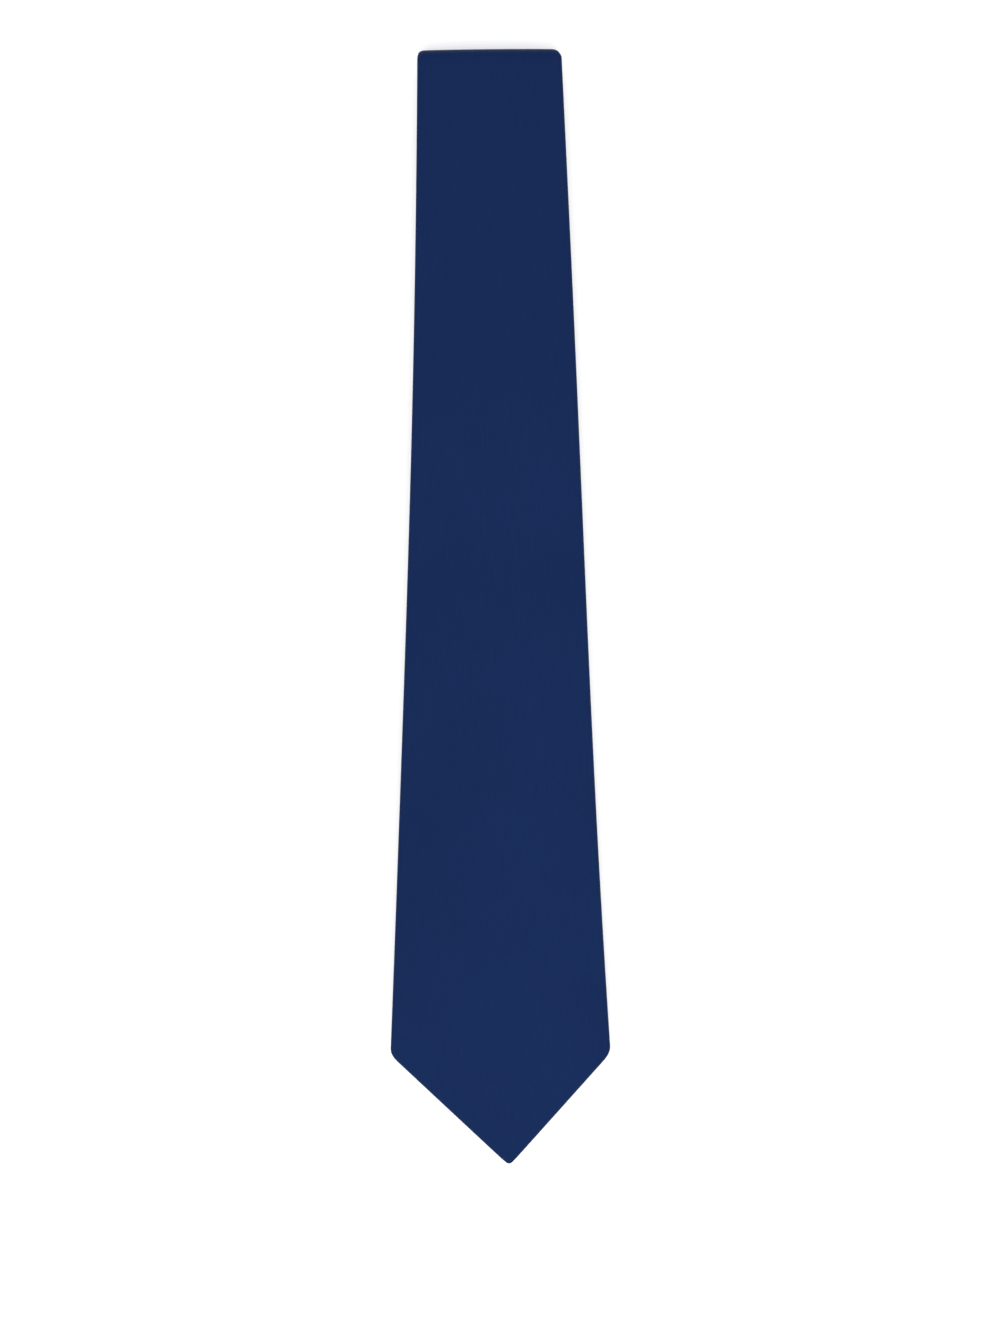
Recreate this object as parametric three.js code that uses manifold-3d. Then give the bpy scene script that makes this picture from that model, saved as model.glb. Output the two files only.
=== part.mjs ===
// A silk necktie, folded in four and laid flat with its front blade on top.
//
// Millimetres. X runs across the tie, Y along it with the blade's point at -Y, and Z up from the
// surface that it lies on. The origin is the middle of the whole outline, on that surface.
//
// The tie is a flat tube of silk, the shell, sewn from three lengths on slanted seams: blade, neck
// and tail. It is wrapped round one long interlining and closed down the back by a slip stitch with
// a bar tack at each end. A lining, the tipping, fills the back of each point. A keeper loop and a
// blank care label are sewn to the back of the blade. Three folds stack it in four panels:
//
//   front panel    front side up       fold one joins it to the second panel, at +Y
//   second panel   front side down     fold two joins it to the third panel, at -Y
//   third panel    front side up       fold three joins it to the tail panel, at +Y
//   tail panel     front side down, on the surface
//
// "Distance along" is the distance along the tie's centre line from the blade's point. The whole tie
// comes to 1470 along.

import * as THREE from 'three';
import { mergeVertices } from 'three/addons/utils/BufferGeometryUtils.js';
import Module from 'manifold-3d';

const wasm = await Module();
wasm.setup();

// ---- Driving dimensions ----

// outline
const frontLength = 407; // blade's rounded point to the outside of fold one
const bladeWidth = 80; // across the blade's shoulders, its widest
const bladePointHeight = 41; // blade's point, before rounding, to its shoulders
const bladePointOffset = 2.6; // the pressed point stands this far to +X
const neckWidth = 37; // the narrowest width
const neckFromFold = 84; // from fold two on to the narrowest width
const tailWidth = 47; // across the tail's shoulders
const tailPointHeight = 26;
const shoulderRound = 4; // where the rounding of a shoulder starts, from its corner
const pointRound = 2.5; // the same at a point

// how the blade flares from the neck (share 0) to its shoulders (share 1)
const flareSquare = 1.82;
const flareCube = -1.67;

// folding
const foldTwoSetback = 27; // fold two stays this far inside the blade's point
const foldThreeSetback = 3; // fold three stays this far inside fold one
const tailSetback = 96; // the tail's point stays this far inside the blade's point

// cloth
const shellWall = 0.5; // silk
const interliningThickness = 1.4; // brushed wool
const tippingThickness = 0.4; // lining
const fitGap = 0.3; // between neighbouring layers
const rolledEdge = 1.2; // how far the pressed side edges are rounded
const foldClearance = 0.2; // each panel stops this far short of its fold's axis

// back of the tie
const threadThickness = 0.5;
const hemWidth = 8; // cloth turned to the back along each point
const bladeWindowTop = 118; // distance along to where the blade's back edges meet
const tailWindowTop = 62; // the same, from the tail's point
const tackLength = 8; // bar tacks, across the back seam
const tackWidth = 1.2;
const keeperAt = 270; // distance along to the keeper loop's middle
const keeperSpan = 44; // across the tie
const keeperBand = 10; // along the tie
const keeperThickness = 0.6;
const keeperTackWidth = 1.2;
const labelAt = 192; // distance along to the care label's middle
const labelWidth = 24;
const labelHeight = 14;
const labelThickness = 0.3;
const labelFromSeam = 3;

// slanted seams between the three lengths of silk
const bladeSeamFromFold = 95; // from the seam on to fold two
const tailSeamFromFold = 150; // from the seam on to fold three
const seamSlant = THREE.MathUtils.degToRad(45);

// ---- Derived places ----

const panelThickness = 2 * (shellWall + fitGap) + interliningThickness;
const tailBottom = 0;
const thirdBottom = tailBottom + panelThickness + fitGap;
const secondBottom = thirdBottom + panelThickness + fitGap;
const frontBottom = secondBottom + panelThickness + fitGap + keeperThickness + fitGap;

const lowY = -frontLength / 2;
const pointCut = (pointRound * Math.cos(Math.atan2(bladeWidth / 2, bladePointHeight))) / 2;
const pointY = lowY - pointCut; // the blade's point before it is rounded
const foldOne = { inner: (frontBottom - secondBottom - panelThickness) / 2, side: 1 };
const foldTwo = { inner: fitGap / 2, side: -1 };
const foldThree = { inner: fitGap / 2, side: 1 };
for (const fold of [foldOne, foldTwo, foldThree]) {
  fold.outer = fold.inner + panelThickness;
  fold.clothLength = Math.PI * (fold.inner + panelThickness / 2);
}
foldOne.y = frontLength / 2 - foldOne.outer;
foldOne.z = frontBottom - foldOne.inner;
foldTwo.y = lowY + foldTwoSetback + foldTwo.outer;
foldTwo.z = secondBottom - foldTwo.inner;
foldThree.y = frontLength / 2 - foldThreeSetback - foldThree.outer;
foldThree.z = thirdBottom - foldThree.inner;

// each panel runs from one distance along to another; y(along) places it
const frontPanel = { from: 0, bottom: frontBottom, backUp: false, startY: pointY, heading: 1 };
frontPanel.to = foldOne.y - pointY;
const secondPanel = { from: frontPanel.to + foldOne.clothLength, bottom: secondBottom, backUp: true };
Object.assign(secondPanel, { startY: foldOne.y, heading: -1 });
secondPanel.to = secondPanel.from + foldOne.y - foldTwo.y;
const thirdPanel = { from: secondPanel.to + foldTwo.clothLength, bottom: thirdBottom, backUp: false };
Object.assign(thirdPanel, { startY: foldTwo.y, heading: 1 });
thirdPanel.to = thirdPanel.from + foldThree.y - foldTwo.y;
const tailPanel = { from: thirdPanel.to + foldThree.clothLength, bottom: tailBottom, backUp: true };
Object.assign(tailPanel, { startY: foldThree.y, heading: -1 });
tailPanel.to = tailPanel.from + foldThree.y - (lowY + tailSetback);

const tieLength = tailPanel.to;
const neckAt = secondPanel.to + neckFromFold;
const bladeSeamAt = secondPanel.to - bladeSeamFromFold;
const tailSeamAt = thirdPanel.to - tailSeamFromFold;
const overrun = 4; // outlines run past a fold by this much before they are trimmed

function yAt(panel, along) {
  return panel.startY + panel.heading * (along - panel.from);
}

// finished width at a distance along: a quartic flare to the blade, a square one to the tail
function widthAt(along) {
  if (along < neckAt) {
    const t = (neckAt - along) / (neckAt - bladePointHeight);
    const flare = t * t * (flareSquare + t * (flareCube + t * (1 - flareSquare - flareCube)));
    return neckWidth + (bladeWidth - neckWidth) * flare;
  }
  const t = (along - neckAt) / (tieLength - tailPointHeight - neckAt);
  return neckWidth + (tailWidth - neckWidth) * t * t;
}

// ---- Solids ----

function solidOf(geometry) {
  geometry.deleteAttribute('normal');
  geometry.deleteAttribute('uv');
  const merged = mergeVertices(geometry, 1e-5);
  return new wasm.Manifold(new wasm.Mesh({
    numProp: 3,
    vertProperties: new Float32Array(merged.attributes.position.array),
    triVerts: new Uint32Array(merged.index.array),
  }));
}

function geometryOf(solid) {
  const mesh = solid.getMesh();
  const geometry = new THREE.BufferGeometry();
  geometry.setAttribute('position', new THREE.BufferAttribute(mesh.vertProperties, 3));
  geometry.setIndex(new THREE.BufferAttribute(mesh.triVerts, 1));
  geometry.computeVertexNormals();
  return geometry;
}

function box(lowX, highX, lowY, highY, lowZ, highZ) {
  const geometry = new THREE.BoxGeometry(highX - lowX, highY - lowY, highZ - lowZ);
  geometry.translate((lowX + highX) / 2, (lowY + highY) / 2, (lowZ + highZ) / 2);
  return solidOf(geometry);
}

// an outline made thick, drawn in by inset all round, with its edges rounded
function slabGeometry(outline, thickness, inset, round, curveSegments) {
  const geometry = new THREE.ExtrudeGeometry(outline, {
    depth: thickness - 2 * round,
    bevelEnabled: true,
    bevelThickness: round,
    bevelSize: round,
    bevelOffset: -inset - round,
    bevelSegments: 2,
    curveSegments,
  });
  geometry.translate(0, 0, round);
  return geometry;
}

function slab(outline, bottom, thickness, inset, round) {
  const geometry = slabGeometry(outline, thickness, inset, round, 2);
  geometry.translate(0, 0, bottom);
  return solidOf(geometry);
}

// ---- Outlines ----

// points down one edge of the tie, from one distance along to another
function edge(panel, side, from, to) {
  const steps = 5;
  return Array.from({ length: steps + 1 }, (_, step) => {
    const along = from + ((to - from) * step) / steps;
    return new THREE.Vector2((side * widthAt(along)) / 2, yAt(panel, along));
  });
}

function straightOutline(panel) {
  const from = panel.from - overrun;
  const to = panel.to + overrun;
  const left = edge(panel, -1, from, to);
  const right = edge(panel, 1, to, from);
  const outline = new THREE.Shape();
  outline.moveTo(left[0].x, left[0].y);
  outline.splineThru(left.slice(1));
  outline.lineTo(right[0].x, right[0].y);
  outline.splineThru(right.slice(1));
  return outline;
}

// both corners next to a rounding, set back from the corner along its two sides
function roundedCorner(outline, before, corner, after, reach) {
  const start = corner.clone().add(before.clone().sub(corner).setLength(reach));
  const end = corner.clone().add(after.clone().sub(corner).setLength(reach));
  outline.lineTo(start.x, start.y);
  outline.quadraticCurveTo(corner.x, corner.y, end.x, end.y);
}

// a panel that ends in a point; pointAlong is the point's distance along, openAlong the fold's
function pointedOutline(panel, pointAlong, openAlong, pointHeight, pointOffset) {
  const inwards = Math.sign(openAlong - pointAlong);
  const shoulderAlong = pointAlong + inwards * pointHeight;
  const left = edge(panel, -1, openAlong + inwards * overrun, shoulderAlong);
  const right = edge(panel, 1, shoulderAlong, openAlong + inwards * overrun);
  const point = new THREE.Vector2(pointOffset, yAt(panel, pointAlong));
  const outline = new THREE.Shape();
  outline.moveTo(left[0].x, left[0].y);
  outline.splineThru(left.slice(1, -1));
  roundedCorner(outline, left.at(-2), left.at(-1), point, shoulderRound);
  roundedCorner(outline, left.at(-1), point, right[0], pointRound);
  roundedCorner(outline, point, right[0], right[1], shoulderRound);
  outline.splineThru(right.slice(1));
  return outline;
}

// the kite at the back of a point that the turned edges leave open
function windowOutline(panel, pointAlong, windowTop, pointHeight, pointOffset) {
  const inwards = panel.from === pointAlong ? 1 : -1;
  const shoulder = widthAt(pointAlong + inwards * pointHeight) / 2;
  const pointRise = (hemWidth * Math.hypot(shoulder, pointHeight)) / shoulder;
  const sideAlong = pointAlong + inwards * (pointHeight + hemWidth / 2);
  const outline = new THREE.Shape();
  outline.moveTo(pointOffset, yAt(panel, pointAlong + inwards * pointRise));
  outline.lineTo(shoulder - hemWidth, yAt(panel, sideAlong));
  outline.lineTo(0, yAt(panel, pointAlong + inwards * windowTop));
  outline.lineTo(hemWidth - shoulder, yAt(panel, sideAlong));
  return outline;
}

const bladeOutline = pointedOutline(
  frontPanel, frontPanel.from, frontPanel.to, bladePointHeight, bladePointOffset,
);
const secondOutline = straightOutline(secondPanel);
const thirdOutline = straightOutline(thirdPanel);
const tailOutline = pointedOutline(tailPanel, tailPanel.to, tailPanel.from, tailPointHeight, 0);
const bladeWindow = windowOutline(
  frontPanel, frontPanel.from, bladeWindowTop, bladePointHeight, bladePointOffset,
);
const tailWindow = windowOutline(tailPanel, tailPanel.to, tailWindowTop, tailPointHeight, 0);

// ---- Panels: shell, interlining, back seam ----

const interliningInset = shellWall + fitGap;
const far = frontLength; // past everything

// the part of a solid between a panel's two folds
function betweenFolds(panel, solid) {
  const ends = [];
  if (panel !== frontPanel) ends.push(yAt(panel, panel.from + foldClearance));
  if (panel !== tailPanel) ends.push(yAt(panel, panel.to - foldClearance));
  if (panel === frontPanel) ends.push(-far);
  if (panel === tailPanel) ends.push(-far);
  return solid.intersect(box(-far, far, Math.min(...ends), Math.max(...ends), -far, far));
}

// heights of the back wall's two faces
function backWall(panel) {
  const low = panel.backUp ? panel.bottom + panelThickness - shellWall : panel.bottom;
  return { low, high: low + shellWall };
}

// cuts anything through the back wall and no deeper than the gap behind it
function throughBackWall(panel) {
  const wall = backWall(panel);
  const reach = fitGap / 2;
  return { low: wall.low - reach, high: wall.high + reach };
}

const slitHalf = threadThickness / 2 + fitGap;

function seamSlit(panel, from, to) {
  const cut = throughBackWall(panel);
  const ends = [yAt(panel, from), yAt(panel, to)];
  return box(-slitHalf, slitHalf, Math.min(...ends), Math.max(...ends), cut.low, cut.high);
}

function shellOf(panel, outline) {
  const outside = slab(outline, panel.bottom, panelThickness, 0, rolledEdge);
  const inside = slab(
    outline, panel.bottom + shellWall, panelThickness - 2 * shellWall, shellWall, rolledEdge - shellWall,
  );
  return betweenFolds(panel, outside.subtract(inside));
}

function interliningOf(panel, outline) {
  const solid = slab(
    outline, panel.bottom + interliningInset, interliningThickness, interliningInset,
    interliningThickness / 3,
  );
  return betweenFolds(panel, solid);
}

function threadOf(panel, from, to) {
  const wall = backWall(panel);
  const ends = [yAt(panel, from), yAt(panel, to)];
  const half = threadThickness / 2;
  return box(-half, half, Math.min(...ends), Math.max(...ends), wall.low, wall.high);
}

// a bar tack lies across the back seam, flush in the back wall; grow makes the pocket that it sits in
function tackOf(panel, along, grow) {
  const wall = grow ? throughBackWall(panel) : backWall(panel);
  const y = yAt(panel, along);
  const halfLength = tackLength / 2 + grow;
  const halfWidth = tackWidth / 2 + grow;
  return box(-halfLength, halfLength, y - halfWidth, y + halfWidth, wall.low, wall.high);
}

function windowCut(panel, outline) {
  const cut = throughBackWall(panel);
  return slab(outline, cut.low, cut.high - cut.low, 0, fitGap / 4);
}

function tippingOf(panel, outline) {
  const wall = backWall(panel);
  const bottom = (wall.low + wall.high - tippingThickness) / 2;
  return slab(outline, bottom, tippingThickness, fitGap, tippingThickness / 4);
}

// everything on one side of a slanted seam across a panel; side 1 is towards +Y
function besideSeam(panel, along, side) {
  const geometry = new THREE.BoxGeometry(4 * far, 2 * far, 2 * far);
  geometry.translate(0, side * (far + fitGap / 2), 0);
  geometry.rotateZ(seamSlant);
  geometry.translate(0, yAt(panel, along), 0);
  return solidOf(geometry);
}

// the tack stands one tack's width above the window; the thread starts one gap above the tack
const bladeTackAt = bladeWindowTop + tackWidth;
const bladeThreadAt = bladeTackAt + tackWidth / 2 + fitGap;
const tailTackAt = tieLength - tailWindowTop - tackWidth;
const tailThreadAt = tailTackAt - tackWidth / 2 - fitGap;

const bladeShell = shellOf(frontPanel, bladeOutline)
  .subtract(windowCut(frontPanel, bladeWindow))
  .subtract(tackOf(frontPanel, bladeTackAt, fitGap))
  .subtract(seamSlit(frontPanel, bladeWindowTop - tackWidth, frontPanel.to));
const secondShell = shellOf(secondPanel, secondOutline)
  .subtract(seamSlit(secondPanel, secondPanel.from, secondPanel.to));
const thirdShell = shellOf(thirdPanel, thirdOutline)
  .subtract(seamSlit(thirdPanel, thirdPanel.from, thirdPanel.to));
const tailShell = shellOf(tailPanel, tailOutline)
  .subtract(windowCut(tailPanel, tailWindow))
  .subtract(tackOf(tailPanel, tailTackAt, fitGap))
  .subtract(seamSlit(tailPanel, tailPanel.from, tieLength - tailWindowTop + tackWidth));

// ---- Folds: the cloth that turns through half a circle between two panels ----

// a half ring with straight legs, drawn in Y and Z about the fold's axis
function foldOutline(inner, outer) {
  const outline = new THREE.Shape();
  outline.moveTo(-overrun, outer);
  outline.lineTo(0, outer);
  outline.absarc(0, 0, outer, Math.PI / 2, -Math.PI / 2, true);
  outline.lineTo(-overrun, -outer);
  outline.lineTo(-overrun, -inner);
  outline.lineTo(0, -inner);
  outline.absarc(0, 0, inner, -Math.PI / 2, Math.PI / 2, false);
  outline.lineTo(-overrun, inner);
  return outline;
}

const shapeToFold = new THREE.Matrix4().makeBasis(
  new THREE.Vector3(0, 1, 0), new THREE.Vector3(0, 0, 1), new THREE.Vector3(1, 0, 0),
);

// a half ring across the width, drawn in by inset all round
function foldRing(fold, inner, outer, width, inset, round) {
  const geometry = slabGeometry(foldOutline(inner, outer), width - 2 * inset, inset, round, 5);
  geometry.translate(0, 0, inset - width / 2);
  geometry.applyMatrix4(shapeToFold);
  const start = fitGap - foldClearance;
  const beyond = box(-far, far, start, far, -far, far);
  const solid = solidOf(geometry).intersect(beyond);
  const turn = fold.side > 0 ? 0 : 180;
  return solid.rotate([0, 0, turn]).translate([0, fold.y, fold.z]);
}

// the slit follows the back wall, which is inside folds one and three and outside fold two
function foldSlit(fold) {
  const margin = fitGap / 2;
  const ring = fold.side > 0
    ? [Math.max(fold.inner - margin, margin / 4), fold.inner + shellWall + margin]
    : [fold.outer - shellWall - margin, fold.outer + margin];
  return foldRing(fold, ring[0], ring[1], 2 * slitHalf, 0, margin / 4);
}

function foldShell(fold, width) {
  const outside = foldRing(fold, fold.inner, fold.outer, width, 0, rolledEdge);
  const inside = foldRing(fold, fold.inner, fold.outer, width, shellWall, rolledEdge - shellWall);
  return outside.subtract(inside).subtract(foldSlit(fold));
}

function foldInterlining(fold, width) {
  return foldRing(fold, fold.inner, fold.outer, width, interliningInset, interliningThickness / 3);
}

const foldOneWidth = widthAt(frontPanel.to);
const foldTwoWidth = widthAt(secondPanel.to);
const foldThreeWidth = widthAt(thirdPanel.to);

// ---- Keeper loop and care label, sewn under the back of the blade ----

function plate(centreX, centreY, sizeX, sizeY, top, thickness) {
  const x = centreX - sizeX / 2;
  const y = centreY - sizeY / 2;
  return box(x, x + sizeX, y, y + sizeY, top - thickness, top);
}

const backTop = frontBottom - fitGap;
const keeperY = yAt(frontPanel, keeperAt);
const keeperTackX = keeperSpan / 2 + fitGap + keeperTackWidth / 2;
const labelX = slitHalf + labelFromSeam + labelWidth / 2;

function keeperTack(side) {
  return plate(side * keeperTackX, keeperY, keeperTackWidth, keeperBand, backTop, keeperThickness);
}

// ---- The assembly ----

function finish(color, roughness) {
  return () => new THREE.MeshStandardMaterial({ color, roughness, metalness: 0 });
}

const silk = finish(0x1a2f5c, 0.5);
const wool = finish(0xd9d2c0, 0.95);
const lining = finish(0x16264b, 0.35);
const thread = finish(0x1c3263, 0.6);
const label = finish(0x20293c, 0.7);

const group = new THREE.Group();

function addPiece(name, solid, makeMaterial) {
  const mesh = new THREE.Mesh(geometryOf(solid), makeMaterial());
  mesh.name = name;
  group.add(mesh);
}

// front panel
addPiece('blade_shell_front', bladeShell, silk);
addPiece('blade_interlining', interliningOf(frontPanel, bladeOutline), wool);
addPiece('blade_tipping', tippingOf(frontPanel, bladeWindow), lining);
addPiece('blade_slip_stitch', threadOf(frontPanel, bladeThreadAt, frontPanel.to - foldClearance), thread);
addPiece('blade_bar_tack', tackOf(frontPanel, bladeTackAt, 0), thread);
addPiece('keeper_loop', plate(0, keeperY, keeperSpan, keeperBand, backTop, keeperThickness), silk);
addPiece('keeper_tack_left', keeperTack(-1), thread);
addPiece('keeper_tack_right', keeperTack(1), thread);
addPiece(
  'care_label',
  plate(labelX, yAt(frontPanel, labelAt), labelWidth, labelHeight, backTop, labelThickness),
  label,
);

// fold one
addPiece('fold_one_shell', foldShell(foldOne, foldOneWidth), silk);
addPiece('fold_one_interlining', foldInterlining(foldOne, foldOneWidth), wool);

// second panel: the blade's silk meets the neck's on a slanted seam
addPiece('blade_shell_rear', secondShell.intersect(besideSeam(secondPanel, bladeSeamAt, 1)), silk);
addPiece('neck_shell_front', secondShell.intersect(besideSeam(secondPanel, bladeSeamAt, -1)), silk);
addPiece('second_interlining', interliningOf(secondPanel, secondOutline), wool);
addPiece(
  'second_slip_stitch',
  threadOf(secondPanel, secondPanel.from + foldClearance, secondPanel.to - foldClearance),
  thread,
);

// fold two
addPiece('fold_two_shell', foldShell(foldTwo, foldTwoWidth), silk);
addPiece('fold_two_interlining', foldInterlining(foldTwo, foldTwoWidth), wool);

// third panel: the neck's silk meets the tail's
addPiece('neck_shell_rear', thirdShell.intersect(besideSeam(thirdPanel, tailSeamAt, -1)), silk);
addPiece('tail_shell_front', thirdShell.intersect(besideSeam(thirdPanel, tailSeamAt, 1)), silk);
addPiece('third_interlining', interliningOf(thirdPanel, thirdOutline), wool);
addPiece(
  'third_slip_stitch',
  threadOf(thirdPanel, thirdPanel.from + foldClearance, thirdPanel.to - foldClearance),
  thread,
);

// fold three
addPiece('fold_three_shell', foldShell(foldThree, foldThreeWidth), silk);
addPiece('fold_three_interlining', foldInterlining(foldThree, foldThreeWidth), wool);

// tail panel
addPiece('tail_shell_rear', tailShell, silk);
addPiece('tail_interlining', interliningOf(tailPanel, tailOutline), wool);
addPiece('tail_tipping', tippingOf(tailPanel, tailWindow), lining);
addPiece('tail_slip_stitch', threadOf(tailPanel, tailPanel.from + foldClearance, tailThreadAt), thread);
addPiece('tail_bar_tack', tackOf(tailPanel, tailTackAt, 0), thread);

export default group;
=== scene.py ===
"""A navy silk necktie, folded in four and laid flat with its blade on top."""

import bpy
import numpy as np
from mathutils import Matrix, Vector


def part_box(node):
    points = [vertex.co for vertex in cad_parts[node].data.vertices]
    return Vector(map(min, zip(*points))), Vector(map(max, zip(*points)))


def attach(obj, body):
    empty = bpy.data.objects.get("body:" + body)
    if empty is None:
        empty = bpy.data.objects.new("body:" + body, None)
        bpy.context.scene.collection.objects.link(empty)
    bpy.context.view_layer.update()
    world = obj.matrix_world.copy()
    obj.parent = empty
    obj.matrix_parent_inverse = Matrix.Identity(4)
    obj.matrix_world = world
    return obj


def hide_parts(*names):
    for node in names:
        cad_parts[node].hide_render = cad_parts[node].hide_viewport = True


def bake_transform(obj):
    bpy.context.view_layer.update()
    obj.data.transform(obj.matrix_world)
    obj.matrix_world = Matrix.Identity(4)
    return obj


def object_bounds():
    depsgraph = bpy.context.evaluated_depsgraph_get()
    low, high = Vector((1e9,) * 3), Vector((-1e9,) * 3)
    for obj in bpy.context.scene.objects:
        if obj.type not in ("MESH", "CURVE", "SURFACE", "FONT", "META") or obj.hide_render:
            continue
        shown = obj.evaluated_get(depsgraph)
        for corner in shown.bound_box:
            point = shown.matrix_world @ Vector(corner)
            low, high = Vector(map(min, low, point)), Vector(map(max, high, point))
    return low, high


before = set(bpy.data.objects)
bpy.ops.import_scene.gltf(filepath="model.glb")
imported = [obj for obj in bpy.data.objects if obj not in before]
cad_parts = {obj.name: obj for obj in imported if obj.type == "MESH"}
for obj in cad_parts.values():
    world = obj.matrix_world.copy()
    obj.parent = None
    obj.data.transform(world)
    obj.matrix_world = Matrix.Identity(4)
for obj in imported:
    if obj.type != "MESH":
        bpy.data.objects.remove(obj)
cad_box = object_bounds()


# ---------------------------------------------------------------------------------------------
# The outer cloth: three lengths of navy silk twill, cut on the bias and joined by two slanted
# seams. Each is wrapped round the interlining, with soft rolled sides and the two raw edges
# lapped along the middle of the back; at each point they open into a kite with a turned-in hem.
# Lengths here and below are in millimetres unless they say metres.
mm = 0.001
wall = 0.45  # silk with its fold-over
edge_round = 1.7  # how far a rolled side reaches in
crown = 0.2  # the middle stands this much above the sides
blade_half, neck_half, tail_half = 40.25, 18.55, 23.5  # half the width at each place
blade_point, tail_point = 41.0, 26.0  # height of each point
blade_corner, tail_corner = 2.6, 2.0  # how far the rounding of a shoulder reaches
point_offset = 2.6  # the blade's point leans to the right
point_cut = 0.895  # rounding takes this off each sharp point
tip_start = point_cut + 0.02  # the silk's first row, a hair inside the rounded tip
tip_power = 2.5  # how squarely a tip is rounded
proud = 0.35  # the soft tip stands this much proud of its solid
flare_square, flare_cube = 1.82, -1.67  # how the blade flares from the neck to its shoulders
bow_side, bow_end, loft = 0.33, 0.6, 0.7  # the front panel's sideways bow, and its lift
hem = 8.0  # turned in along each point's sides
blade_window, tail_window = 118.0, 62.0  # where the kite-shaped openings close
kite_above = 4.0  # the kites are widest this far above the shoulders
underlap, lap_run = 12.0, 20.0  # how far the right edge runs under the left, and its run-in
neck_from_fold, blade_seam_from_fold, tail_seam_from_fold = 84.0, 95.0, 150.0
creases = ((1, 0.4, 1.2), (3, 0.8, 0.8), (5, 0.8, 0.8))  # mark, and each side's draw at a fold
# the second colour is painted shade in the twill's hollows between the ribs, and also the silk's own
# darker slubs and dye
silk_navy = (0.0084, 0.0228, 0.0885, 1)
silk_shadow = (0.0031, 0.0089, 0.0375, 1)


def cad(node):
    """A CAD node's lowest and highest corner in millimetres."""
    return [np.array(corner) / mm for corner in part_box(node)]


panel = np.ptp([corner[2] for corner in cad("blade_shell_front")])
half_panel = panel / 2
turn_boxes = [cad(f"fold_{name}_shell") for name in ("one", "two", "three")]
turn_side = [1, -1, 1]  # which end each fold bulges to
turn_face = [1, -1, 1]  # 1 where the front of the cloth is outside
turn_y = [box[0][1] if side > 0 else box[1][1] for box, side in zip(turn_boxes, turn_side)]
turn_z = [(low[2] + high[2]) / 2 for low, high in turn_boxes]
turn_radius = [(high[2] - low[2]) / 2 - half_panel for low, high in turn_boxes]
blade_tip_y = cad("blade_shell_front")[0][1] - point_cut - proud
tail_tip_y = cad("tail_shell_rear")[0][1] - point_cut
stops = [blade_tip_y, *turn_y, tail_tip_y]
marks = [0.0]  # distance along the tie at each start and end of a panel
for number in range(4):
    marks.append(marks[-1] + abs(stops[number + 1] - stops[number]))
    if number < 3:
        marks.append(marks[-1] + np.pi * turn_radius[number])
tie_length = marks[-1]
blade_seam = marks[3] - blade_seam_from_fold
neck_at = marks[3] + neck_from_fold
tail_seam = marks[5] - tail_seam_from_fold


def smooth(value):
    """Rises from 0 to 1 with level ends, three times the square less twice the cube."""
    share = np.clip(value, 0, 1)
    return share * share * (3 - 2 * share)


def path(along):
    """The middle of the thickness: level panels joined by half circles. Gives its y and z, and
    the y and z of the direction that the front of the cloth looks in."""
    y, z, face_y, face_z = np.zeros((4, *along.shape))
    below_turns = [centre - radius for centre, radius in zip(turn_z, turn_radius)]
    levels = [turn_z[0] + turn_radius[0], *below_turns]
    for number in range(4):
        begin, end = marks[2 * number], marks[2 * number + 1]
        heading = 1 - 2 * (number % 2)
        inside = (along >= begin) & (along <= end)
        y[inside] = stops[number] + heading * (along[inside] - begin)
        z[inside] = levels[number]
        face_z[inside] = heading
    for number in range(3):
        begin, end = marks[2 * number + 1], marks[2 * number + 2]
        inside = (along > begin) & (along < end)
        angle = (along[inside] - begin) / (end - begin) * np.pi
        out_y, out_z = turn_side[number] * np.sin(angle), np.cos(angle)
        y[inside] = turn_y[number] + turn_radius[number] * out_y
        z[inside] = turn_z[number] + turn_radius[number] * out_z
        face_y[inside], face_z[inside] = turn_face[number] * out_y, turn_face[number] * out_z
    return y, z, face_y, face_z


def spot(along, across, height):
    """A point of the folded tie in metres: along the path, across it, and height off the middle
    of the thickness. The front panel bows sideways as one turn of a sine and a fourth power,
    which fades out past the fold, and is lifted in its middle as a sine squared."""
    bow_fade = 60.0
    along, across, height = np.broadcast_arrays(np.asarray(along, float), across, height)
    y, z, face_y, face_z = path(along)
    share = np.clip(along / marks[1], 0, 1)
    fade = 1 - smooth((along - marks[1]) / bow_fade)
    bow = (-bow_side * np.sin(2 * np.pi * share) - bow_end * share**4) * fade
    lift = loft * np.sin(np.pi * share) ** 2 * (along < marks[1])
    return np.stack([across + bow, y + height * face_y, z + height * face_z + lift], -1) * mm


def half_width(along):
    """Half the tie's width away from its points: a flare from the neck to each end, in which
    the half turns of the folds count for nothing, so that the sides run on when a fold opens."""
    turned = sum(np.clip(along - marks[k], 0, marks[k + 1] - marks[k]) for k in (1, 3, 5))
    flat_length = tie_length - np.pi * sum(turn_radius)
    front = np.clip((neck_at - along + turned) / (neck_at - blade_point), 0, 1)
    rear = np.clip((along - turned - neck_at) / (flat_length - tail_point - neck_at), 0, 1)
    flare_fourth = 1 - flare_square - flare_cube
    flare = front**2 * (flare_square + flare_cube * front + flare_fourth * front**2)
    return neck_half + (blade_half - neck_half) * flare + (tail_half - neck_half) * rear**2


def rounded_min(first, second, reach):
    """The smaller of the two, with a parabola where they are within reach of each other."""
    near = np.maximum(reach - abs(first - second), 0)
    return np.minimum(first, second) - near**2 / (4 * reach)


def slope(away, point):
    """How far a point's side has opened, 0 at the tip and 1 at the shoulder: straight, but for
    the tip, where a superellipse's power takes point_cut off and leaves it rounded."""
    straight = np.maximum(away, point_cut) ** tip_power - point_cut**tip_power
    return straight ** (1 / tip_power) / point


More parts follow.
